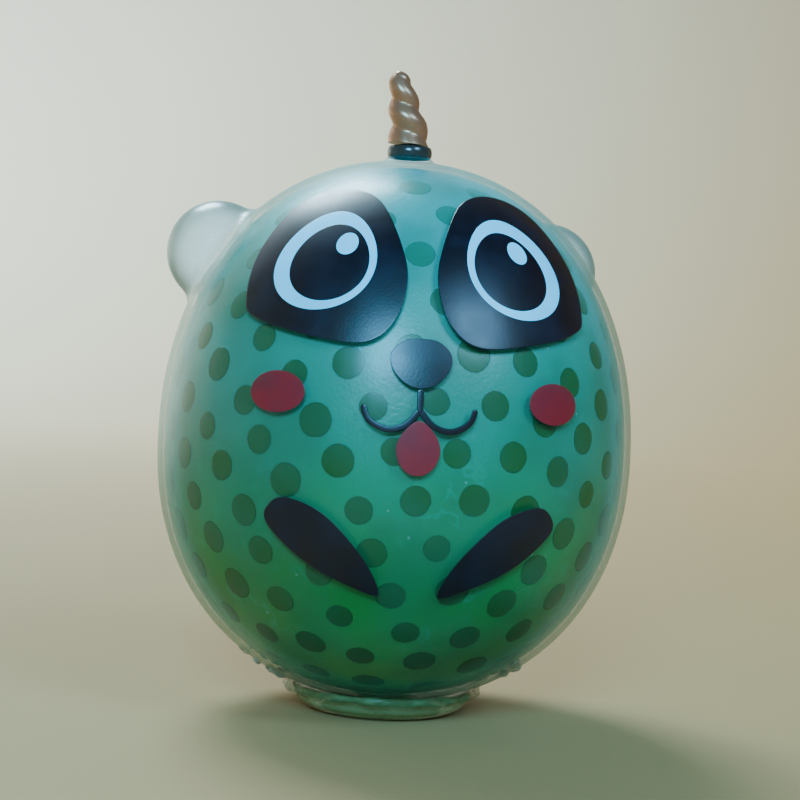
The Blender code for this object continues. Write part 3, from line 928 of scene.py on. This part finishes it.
def build_horn(material):
    tree = Growth("winding_horn", {
        "Foot Radius": ("Float", 3.3 * MM), "Tip Radius": ("Float", 1.55 * MM),
        "Length": ("Float", HORN_TIP - HORN_FOOT), "Pitch": ("Float", 3.9 * MM),
        "Ridge": ("Float", 0.75 * MM), "Groove Turn": ("Float", 0.1),
        "Lean": ("Float", math.tan(math.radians(HORN_LEAN))), "Foot": ("Float", HORN_FOOT),
        "Foot Tilt": ("Float", 0.07), "Droop": ("Float", 0.16),
        "Sides": ("Int", 97), "Rows": ("Int", 150)})
    sheet = tree.node("GeometryNodeMeshGrid", None,
                      {"Size X": 1.0, "Size Y": 1.0, "Vertices X": tree.input("Sides"),
                       "Vertices Y": tree.input("Rows")})
    across, up, _ = tree.split(tree.place())
    round_share = across + 0.5
    up_share = up + 0.5
    rows = tree.input("Rows") - 1.0
    climb = tree.maths("MAXIMUM", (up_share * rows - 1.0) / (rows - 1.0), 0.0)
    climb = 1.0 - (1.0 - climb) ** 2.0
    height = climb * tree.input("Length")
    turn = round_share * math.tau
    winding = height / tree.input("Pitch") + round_share - tree.input("Groove Turn")
    along = tree.maths("FRACT", winding + 1.0)
    swelling = (0.5 - 0.5 * tree.maths("COSINE", along * math.tau)) ** 0.7
    taper = tree.input("Foot Radius") + (tree.input("Tip Radius")
                                         - tree.input("Foot Radius")) * climb ** 1.1
    tip_start = 0.84
    past = tree.maths("MAXIMUM", (climb - tip_start) / (1.0 - tip_start), 0.0)
    cap = tree.maths("MAXIMUM", 1.0 - past * past, 0.0) ** 0.5
    radius = (taper - tree.input("Ridge") * (1.0 - 0.45 * climb) * (1.0 - swelling)) * cap
    on_rim = tree.maths("GREATER_THAN", up_share * rows, 0.5)
    radius = radius * on_rim
    x = radius * tree.maths("COSINE", turn)
    y = radius * tree.maths("SINE", turn)
    sink = tree.maths("MAXIMUM", 1.0 - height / (3.0 * MM), 0.0)
    droop = tree.input("Droop") * radius + tree.input("Foot Tilt") * (x + radius)
    z = tree.input("Foot") + height - droop * sink
    place = tree.fold(x - height * tree.input("Lean"), y, z)
    depth = tree.keep(tree.move(sheet, Position=place), "ridge", swelling)
    closed = tree.node("GeometryNodeMergeByDistance", None, {"Geometry": depth, "Distance": 0.001 * MM})
    return tree.grow("horn_shell", closed, material)


# %% [markdown]
# The horn is painted bronze, bright on the crest of each turn. Its grooves are darkened
# to a dull brown as painted shade. The tree stored how high on its turn each point is, so the
# colour can follow that, with a fine grain for the metal flakes in the paint.

# %% The horn's paint
def bronze_paint():
    finish = Finish("bronze_paint")
    ridge = finish.stored("ridge")
    flake = finish.noise(0.16 * MM, 2.0)
    patch = finish.noise(1.5 * MM, 3.0)
    # Painted shade: the grooves between the turns are darkened to a dull brown, and the crests are left
    # bright.
    lit_crest = finish.step(ridge + (patch - 0.5) * 0.5, 0.15, 0.8)
    colour = finish.mix(lit_crest, (0.085, 0.034, 0.015), (0.42, 0.185, 0.10))
    colour = finish.mix(finish.step(flake, 0.55, 0.72) * 0.35, colour, (0.80, 0.38, 0.23))
    return finish.made_of(Base_Color=colour, Metallic=0.45 + lit_crest * 0.2,
                          Roughness=0.42 - flake * 0.2,
                          Normal=finish.bump(flake + patch, 0.03 * MM, 0.6))


horn = build_horn(bronze_paint())
dress(horn, horn.data.materials[0], None, "horn_gold", "horn")
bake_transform(horn)

# %% [markdown]
# ## The collar
#
# Under the horn is a short dark band of glossy rubber, glued over the boss like a cap.
# It is turned from a bulging profile whose skirt hangs round the boss.

# %% The collar
COLLAR_RADIUS = 3.2 * MM
COLLAR_SKIRT = 0.75 * MM
collar_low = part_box("horn_collar")[0].z


def collar_profile():
    fall = COLLAR_RADIUS * math.tan(math.radians(HORN_LEAN))
    skirt = collar_low - COLLAR_SKIRT
    side = COLLAR_TOP - fall - skirt
    profile = [(0.0, COLLAR_TOP), (COLLAR_RADIUS * 0.5, COLLAR_TOP - fall * 0.5),
               (COLLAR_RADIUS * 0.93, COLLAR_TOP - fall * 0.95)]
    for share in np.linspace(0.05, 0.95, 14):
        bulge = 0.28 * MM * math.sin(math.pi * share) ** 0.7
        profile.append((COLLAR_RADIUS - 0.15 * MM + bulge, skirt + side * (1 - share)))
    return profile + [(COLLAR_RADIUS * 0.985, skirt), (COLLAR_RADIUS * 0.96, skirt),
                      (COLLAR_RADIUS * 0.96, collar_low), (0.0, collar_low)]


def collar_rubber():
    finish = Finish("collar_rubber")
    colour = finish.mix(finish.noise(1.2 * MM, 3.0), (0.010, 0.013, 0.013), (0.035, 0.042, 0.040))
    return finish.made_of(Base_Color=colour, Roughness=0.14 + finish.noise(0.6 * MM) * 0.1,
                          Normal=finish.bump(finish.noise(0.9 * MM), 0.03 * MM, 0.5))


collar = turned("collar_band", collar_profile(), 64)
dress(collar, collar_rubber(), "crown", "collar_dark", "horn_collar")

# %% [markdown]
# ## The base pad and its glue
#
# A clear dish is glued under the ball to make it stand. Its top follows the ball, its
# rim is rounded, and it stands on a flat ring. Two fine steps run round its side, where
# the mould was parted. The glue came out all round the rim and was never wiped, so the
# bead is uneven, with a few torn whitish lumps.

# %% The base pad
PAD_RADIUS = 13.3 * MM
PAD_FOOT_RADIUS = 9.0 * MM
PAD_RIM = 0.6 * MM
CLEARANCE = 0.3 * MM


def underside(radius):
    share = (radius / BALL_RADIUS) ** ROUNDNESS
    return EQUATOR_Z - BASE_DROP * (1.0 - share) ** (1.0 / ROUNDNESS)


def pad_profile():
    profile = [(r, underside(r) - CLEARANCE) for r in np.linspace(0, PAD_RADIUS - 0.15 * MM, 24)]
    rim_z = underside(PAD_RADIUS) - CLEARANCE - PAD_RIM
    profile.append((PAD_RADIUS, rim_z + PAD_RIM * 0.8))
    for turn in np.linspace(0.0, math.pi / 2, 22):
        out = PAD_FOOT_RADIUS + (PAD_RADIUS - PAD_FOOT_RADIUS) * math.cos(turn)
        notch = sum(0.14 * MM * math.exp(-((turn - at) / 0.06) ** 2) for at in (0.35, 0.8))
        profile.append((out - notch, rim_z * (1.0 - math.sin(turn))))
    return profile + [(PAD_FOOT_RADIUS * 0.6, 0.0), (0.0, 0.0)]


def clear_pad():
    finish = Finish("clear_pad")
    rim = finish.limb()
    streak = finish.noise(2.5 * MM, 3.0)
    tint = finish.mix(finish.step(rim + (streak - 0.5) * 0.4, 0.3, 0.9),
                      (0.34, 0.46, 0.18), (0.18, 0.28, 0.09))
    alpha = finish.step(rim, 0.1, 0.9, 0.42, 0.80)
    return finish.made_of(Base_Color=tint, Alpha=alpha, Roughness=0.12, IOR=1.7,
                          Normal=finish.bump(streak, 0.1 * MM, 0.5))


pad = turned("pad", pad_profile(), 128)
dress(pad, clear_pad(), "ball", "clear_rubber", "base_pad")

# %% The glue
GLUE_RADIUS = 0.6 * MM
glue_ring = PAD_RADIUS + CLEARANCE + GLUE_RADIUS
glue_z = underside(glue_ring) - CLEARANCE - 1.15 * GLUE_RADIUS


def turned_ring(name, outline, wobble, sides=160):
    """A closed ring turned about Z from a loop of points; wobble moves each circle's."""
    angles = np.arange(sides) * math.tau / sides
    points = []
    for radius, z in outline:
        out, up = wobble(angles, radius, z)
        points += list(zip(out * np.cos(angles), out * np.sin(angles), up))
    faces = []
    for ring in range(len(outline)):
        upper = ring * sides
        lower = (ring + 1) % len(outline) * sides
        for side in range(sides):
            following = (side + 1) % sides
            faces.append((upper + side, lower + side, lower + following, upper + following))
    return add_mesh(name, points, faces)


def glue_wobble(angles, radius, z):
    """Makes the bead fat here and thin there, as squeezed-out glue is."""
    swell = 1.0 + 0.25 * np.sin(3 * angles + 1.0) * np.sin(7 * angles) + 0.15 * np.sin(17 * angles)
    return glue_ring + (radius - glue_ring) * swell, glue_z + (z - glue_z) * swell


def dried_glue(name, thin, thick, low_alpha, high_alpha):
    finish = Finish(name)
    lump = finish.noise(1.4 * MM, 4.0)
    tint = finish.mix(finish.step(lump, 0.4, 0.7), thin, thick)
    return finish.made_of(Base_Color=tint, Roughness=0.4, Specular_IOR_Level=0.3,
                          Alpha=finish.step(lump, 0.3, 0.7, low_alpha, high_alpha),
                          Normal=finish.bump(lump, 0.2 * MM, 0.8))


outline = [(glue_ring + GLUE_RADIUS * math.sin(t), glue_z + GLUE_RADIUS * math.cos(t))
           for t in np.linspace(0, math.tau, 13)[:-1]]
glue = turned_ring("glue_bead", outline, glue_wobble)
glue_finish = dried_glue("dried_glue", (0.05, 0.14, 0.04), (0.14, 0.24, 0.10), 0.15, 0.6)
dress(glue, glue_finish, "ball", "clear_glue", "glue_ring")

# %% [markdown]
# Glue that was pulled off the bead has stuck to the skin on both sides, as small torn
# lumps. Points scattered over the skin, kept only where z and y fall in a narrow patch,
# each get a small ball, and noise then pulls every ball out of shape.

# %% Torn glue
def build_torn_glue(material):
    tree = Growth("torn_glue", {
        "Skin": ("Object", skin), "Density": ("Float", 200000.0), "Seed": ("Int", 4),
        "Low": ("Float", 4.6 * MM), "High": ("Float", 8.2 * MM), "Reach": ("Float", 4.5 * MM),
        "Smallest": ("Float", 0.30 * MM), "Largest": ("Float", 1.25 * MM),
        "Tear": ("Float", 0.7 * MM)})
    x, y, z = tree.split(tree.place())
    over = tree.maths("GREATER_THAN", z, tree.input("Low"))
    under = tree.maths("LESS_THAN", z, tree.input("High"))
    side = tree.maths("LESS_THAN", tree.maths("ABSOLUTE", y + 1.5 * MM), tree.input("Reach"))
    left = tree.maths("LESS_THAN", x, 0.0)
    density = tree.input("Density") * over * under * side * (0.35 + left * 0.65)
    spots = tree.scatter("Skin", density)
    size = tree.chance(tree.input("Smallest"), tree.input("Largest"), 2)
    lump = tree.node("GeometryNodeMeshIcoSphere", None, {"Radius": 1.0, "Subdivisions": 3})
    lumps = tree.put(lump, spots, spots.other("Rotation"), size, size * 0.8, size * 0.5)
    pull = tree.node("ShaderNodeTexNoise", None, {"Scale": 1.0 / (0.9 * MM), "Detail": 3.0})
    shift = tree.vector("SCALE", tree.node("GeometryNodeInputNormal"),
                        factor=(pull - 0.45) * tree.input("Tear"))
    return tree.grow("torn_glue", tree.move(lumps, Offset=shift), material)


torn_finish = dried_glue("torn_glue", (0.28, 0.38, 0.30), (0.65, 0.75, 0.70), 0.55, 0.85)
torn_glue = build_torn_glue(torn_finish)
soften(dress(torn_glue, torn_finish, "ball", "clear_glue"))

# %% [markdown]
# ## The grommet and the stopper
#
# They close the filling hole and are only seen through the pad, so the engineering
# model's own solids stay, with a proper finish instead of a flat colour.

# %% The grommet and the stopper
def plug_rubber():
    finish = Finish("plug_rubber")
    colour = finish.mix(finish.noise(0.8 * MM, 3.0), (0.4, 0.5, 0.42), (0.6, 0.68, 0.6))
    return finish.made_of(Base_Color=colour, Roughness=0.4 + finish.noise(0.5 * MM) * 0.2)


plug = plug_rubber()
for name in ("neck_grommet", "fill_stopper"):
    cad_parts[name].data.materials.clear()
    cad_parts[name].data.materials.append(plug)

# %% [markdown]
# ## Trapped bubbles
#
# Air caught between the film and the skin shows as tiny pale flecks. Geometry Nodes
# scatter them on the bladder from a fixed seed, so that they are the same every time.

# %% Trapped bubbles
def air():
    finish = Finish("trapped_air")
    tone = finish.mix(finish.noise(2 * MM), (0.15, 0.55, 0.40), (0.45, 0.80, 0.70))
    return finish.made_of(Base_Color=tone, Roughness=0.1, Alpha=finish.limb() * 0.6 + 0.2)


def build_bubbles(material):
    tree = Growth("bubble_scatter", {
        "Bladder": ("Object", bladder), "Density": ("Float", 7000.0), "Seed": ("Int", 11),
        "Smallest": ("Float", 0.08 * MM), "Largest": ("Float", 0.22 * MM)})
    spots = tree.scatter("Bladder", tree.input("Density"))
    size = tree.chance(tree.input("Smallest"), tree.input("Largest"), 5)
    bead = tree.node("GeometryNodeMeshIcoSphere", None, {"Radius": 1.0, "Subdivisions": 2})
    beads = tree.put(bead, spots, spots.other("Rotation"), size, size, size * 0.35)
    return tree.grow("bubbles", beads, material)


bubbles = build_bubbles(air())
soften(dress(bubbles, bubbles.data.materials[0], "ball", "clear_rubber"))

# %% [markdown]
# ## The studio
#
# A pale floor that curves up all round stands in for a sheet of studio paper, so
# there is no horizon from any side. Its colour is painted light: dark in front and
# much paler towards the back and left. One wide cool lamp hangs above and behind, which
# gives the pale top of the ball, helped by paleness painted into the skin, the film and
# the dots towards the top. Two smaller ones, over the camera and to its right, give
# the soft highlights on the face. A fourth lights only the paper behind, on the left, and
# the world fills the shadows.

# %% The floor
def studio_paper():
    finish = Finish("studio_paper")
    x, y, _ = finish.split(finish.place)
    # Painted light: the paper is darker in front and much paler towards the back and left.
    back = finish.step(y - x * 1.4, 0.0, 2.0)
    tone = finish.mix(finish.noise(0.3, 2.0), (0.34, 0.185, 0.060), (0.39, 0.215, 0.075))
    tone = finish.mix(back, tone, (0.80, 0.68, 0.50))
    return finish.made_of(Base_Color=tone, Roughness=0.8)


def build_floor():
    flat, bend, wall = 0.7, 1.1, 2.4
    curve = [(flat + bend * math.sin(t), bend - bend * math.cos(t))
             for t in np.linspace(0.06, math.pi / 2, 18)]
    profile = [(0.0, 0.0), (0.3, 0.0), (flat, 0.0), *curve, (flat + bend, wall)]
    floor = turned("floor", profile, closed=False)
    floor.data.materials.append(studio_paper())


build_floor()


# %% The lamps
def towards(bearing, rise):
    """The direction from the ball at a bearing and an angle of rise."""
    turn, up = math.radians(bearing), math.radians(rise)
    return Vector((math.sin(turn) * math.cos(up), -math.cos(turn) * math.cos(up), math.sin(up)))


def around(bearing, rise, distance):
    return Vector(CENTRE) + towards(bearing, rise) * distance


def add_lamp(name, place, aim, size, power, colour):
    """A soft oblong lamp at one place, aimed at another."""
    light = bpy.data.lights.new(name, "AREA")
    light.shape = "RECTANGLE"
    light.size, light.size_y = size
    light.energy = power
    light.color = colour
    lamp = bpy.data.objects.new(name, light)
    bpy.context.scene.collection.objects.link(lamp)
    lamp.location = place
    lamp.rotation_euler = (place - aim).to_track_quat("Z", "Y").to_euler()


ball_middle = Vector(CENTRE)
backdrop = Vector((-0.45, 1.45, 0.35))
add_lamp("sky_panel", around(-160, 50, 1.5), ball_middle, (0.55, 0.45), 38.0, (0.55, 0.85, 1.0))
add_lamp("room_lamp", around(-11, 28, 1.1), ball_middle, (0.35, 0.3), 17.0, (0.18, 0.66, 1.10))
add_lamp("side_lamp", around(38, 36, 1.1), ball_middle, (0.35, 0.35), 10.0, (0.26, 0.66, 1.08))
add_lamp("wall_lamp", Vector((-0.75, 0.65, 0.85)), backdrop, (0.6, 0.6), 16.0, (0.80, 0.92, 1.0))

world = bpy.data.worlds.new("studio")
bpy.context.scene.world = world
world.use_nodes = True
sky = world.node_tree.nodes["Background"].inputs
sky["Color"].default_value = (0.80, 0.86, 0.90, 1.0)
sky["Strength"].default_value = 0.10

# %% [markdown]
# ## The camera
#
# The ball is seen almost square on, from a hand's length away, a little from its right
# and a little from above, with the camera tilted a few degrees.

# %% The camera
VIEW_BEARING = -5.3
VIEW_RISE = 2.0
VIEW_ROLL = 3.0
VIEW_DISTANCE = 0.30
LENS = 90.67
AIM = Vector((0.0005, 0.0, 0.0461))


def add_camera():
    back = towards(VIEW_BEARING, VIEW_RISE)
    data = bpy.data.cameras.new("camera")
    data.lens = LENS
    camera = bpy.data.objects.new("camera", data)
    bpy.context.scene.collection.objects.link(camera)
    camera.location = AIM + back * VIEW_DISTANCE
    look = back.to_track_quat("Z", "Y").to_matrix()
    right, above = look.col[0].copy(), look.col[1].copy()
    tilt = math.radians(VIEW_ROLL)
    look.col[0] = right * math.cos(tilt) + above * math.sin(tilt)
    look.col[1] = above * math.cos(tilt) - right * math.sin(tilt)
    camera.rotation_euler = look.to_euler()
    bpy.context.scene.camera = camera


add_camera()
